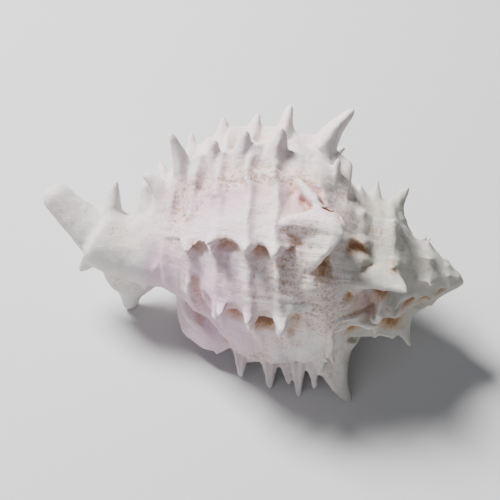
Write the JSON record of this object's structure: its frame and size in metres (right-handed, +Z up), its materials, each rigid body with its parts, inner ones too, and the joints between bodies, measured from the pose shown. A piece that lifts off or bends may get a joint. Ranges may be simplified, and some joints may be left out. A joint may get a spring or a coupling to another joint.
{
  "type": "murex shell",
  "caption": "Sun-bleached murex sea shell: a coiled body with rows of spines, a stepped pointed spire, a recurved canal and an open aperture below",
  "frame": {"origin": "On the surface that the shell lies on, under the middle of its bounding box", "axes": "+X runs along the shell's axis from the canal to the apex, +Z is up, and -Y is the side that the picture looks at"},
  "size_m": [0.115, 0.0736, 0.0631],
  "materials": {
    "worn_shell": "matte"
  },
  "bodies": {
    "root": {"shell": "worn_shell"}
  },
  "joints": []
}
